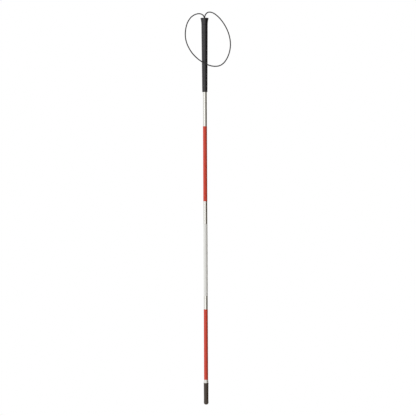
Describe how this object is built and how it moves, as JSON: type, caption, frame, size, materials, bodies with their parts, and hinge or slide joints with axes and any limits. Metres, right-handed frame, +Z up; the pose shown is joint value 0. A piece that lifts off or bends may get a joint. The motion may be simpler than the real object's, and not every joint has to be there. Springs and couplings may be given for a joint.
{
  "type": "white cane",
  "caption": "Long folding white cane in red and white tape bands, with a flared rubber grip, a cord wrist loop and a push-on tip.",
  "frame": {"origin": "middle of the tip's small flat foot, on the cane's axis", "axes": "+Z up along the cane from the tip to the grip; the wrist loop crosses in front of the grip on the -Y side and its wide side lies towards +X"},
  "size_m": [0.1457, 0.0311, 1.2404],
  "materials": {
    "grip_rubber": "moulded, matte",
    "tube_aluminium": "satin, drawn tube",
    "insert_aluminium": "turned, slightly rubbed",
    "collar_aluminium": "turned, bright",
    "red_reflective_tape": "reflective film, satin",
    "white_reflective_tape": "reflective film, satin",
    "braided_elastic": "braided, matte",
    "nylon": "moulded, natural",
    "tip_rubber": "moulded, matte",
    "zinc_plated_steel": "stamped, zinc plated"
  },
  "bodies": {
    "handle": {"grip_cap": "grip_rubber", "grip_sleeve": "grip_rubber", "handle_tube": "tube_aluminium", "wrist_loop": "braided_elastic", "loop_knot": "braided_elastic", "top_plug": "nylon", "top_knot": "braided_elastic", "elastic_1": "braided_elastic", "joint_1_insert": "insert_aluminium", "joint_1_bush": "nylon"},
    "upper_elastic": {"elastic_2": "braided_elastic"},
    "upper_section": {"upper_tube": "tube_aluminium", "red_tape_upper": "red_reflective_tape", "joint_2_insert": "insert_aluminium", "joint_2_bush": "nylon"},
    "middle_elastic": {"elastic_3": "braided_elastic"},
    "middle_section": {"middle_tube": "tube_aluminium", "white_tape": "white_reflective_tape", "joint_3_insert": "insert_aluminium", "joint_3_bush": "nylon"},
    "lower_elastic": {"elastic_4": "braided_elastic"},
    "lower_section": {"lower_tube": "tube_aluminium", "red_tape_lower": "red_reflective_tape", "tip_collar": "collar_aluminium", "anchor_plug": "nylon", "anchor_knot": "braided_elastic"},
    "tip": {"tip": "tip_rubber", "tip_disc": "zinc_plated_steel"}
  },
  "joints": [
    {"name": "pull_1", "type": "slide", "parent": "handle", "child": "upper_elastic", "axis": [0, 0, -1], "range_m": [0, 0.08], "stiffness_N_per_m": 200, "springref_m": -0.15, "deforming": ["elastic_2"]},
    {"name": "twist_1", "type": "hinge", "parent": "upper_elastic", "child": "upper_section", "pos_m": [0, 0, 0.8785], "axis": [0, 0, 1], "continuous": true},
    {"name": "pull_2", "type": "slide", "parent": "upper_section", "child": "middle_elastic", "axis": [0, 0, -1], "range_m": [0, 0.08], "stiffness_N_per_m": 200, "springref_m": -0.15, "deforming": ["elastic_3"]},
    {"name": "twist_2", "type": "hinge", "parent": "middle_elastic", "child": "middle_section", "pos_m": [0, 0, 0.57], "axis": [0, 0, 1], "continuous": true},
    {"name": "pull_3", "type": "slide", "parent": "middle_section", "child": "lower_elastic", "axis": [0, 0, -1], "range_m": [0, 0.08], "stiffness_N_per_m": 200, "springref_m": -0.15, "deforming": ["elastic_4"]},
    {"name": "twist_3", "type": "hinge", "parent": "lower_elastic", "child": "lower_section", "pos_m": [0, 0, 0.301], "axis": [0, 0, 1], "continuous": true},
    {"name": "tip_pull_off", "type": "slide", "parent": "lower_section", "child": "tip", "axis": [0, 0, -1], "range_m": [0, 0.06]}
  ]
}
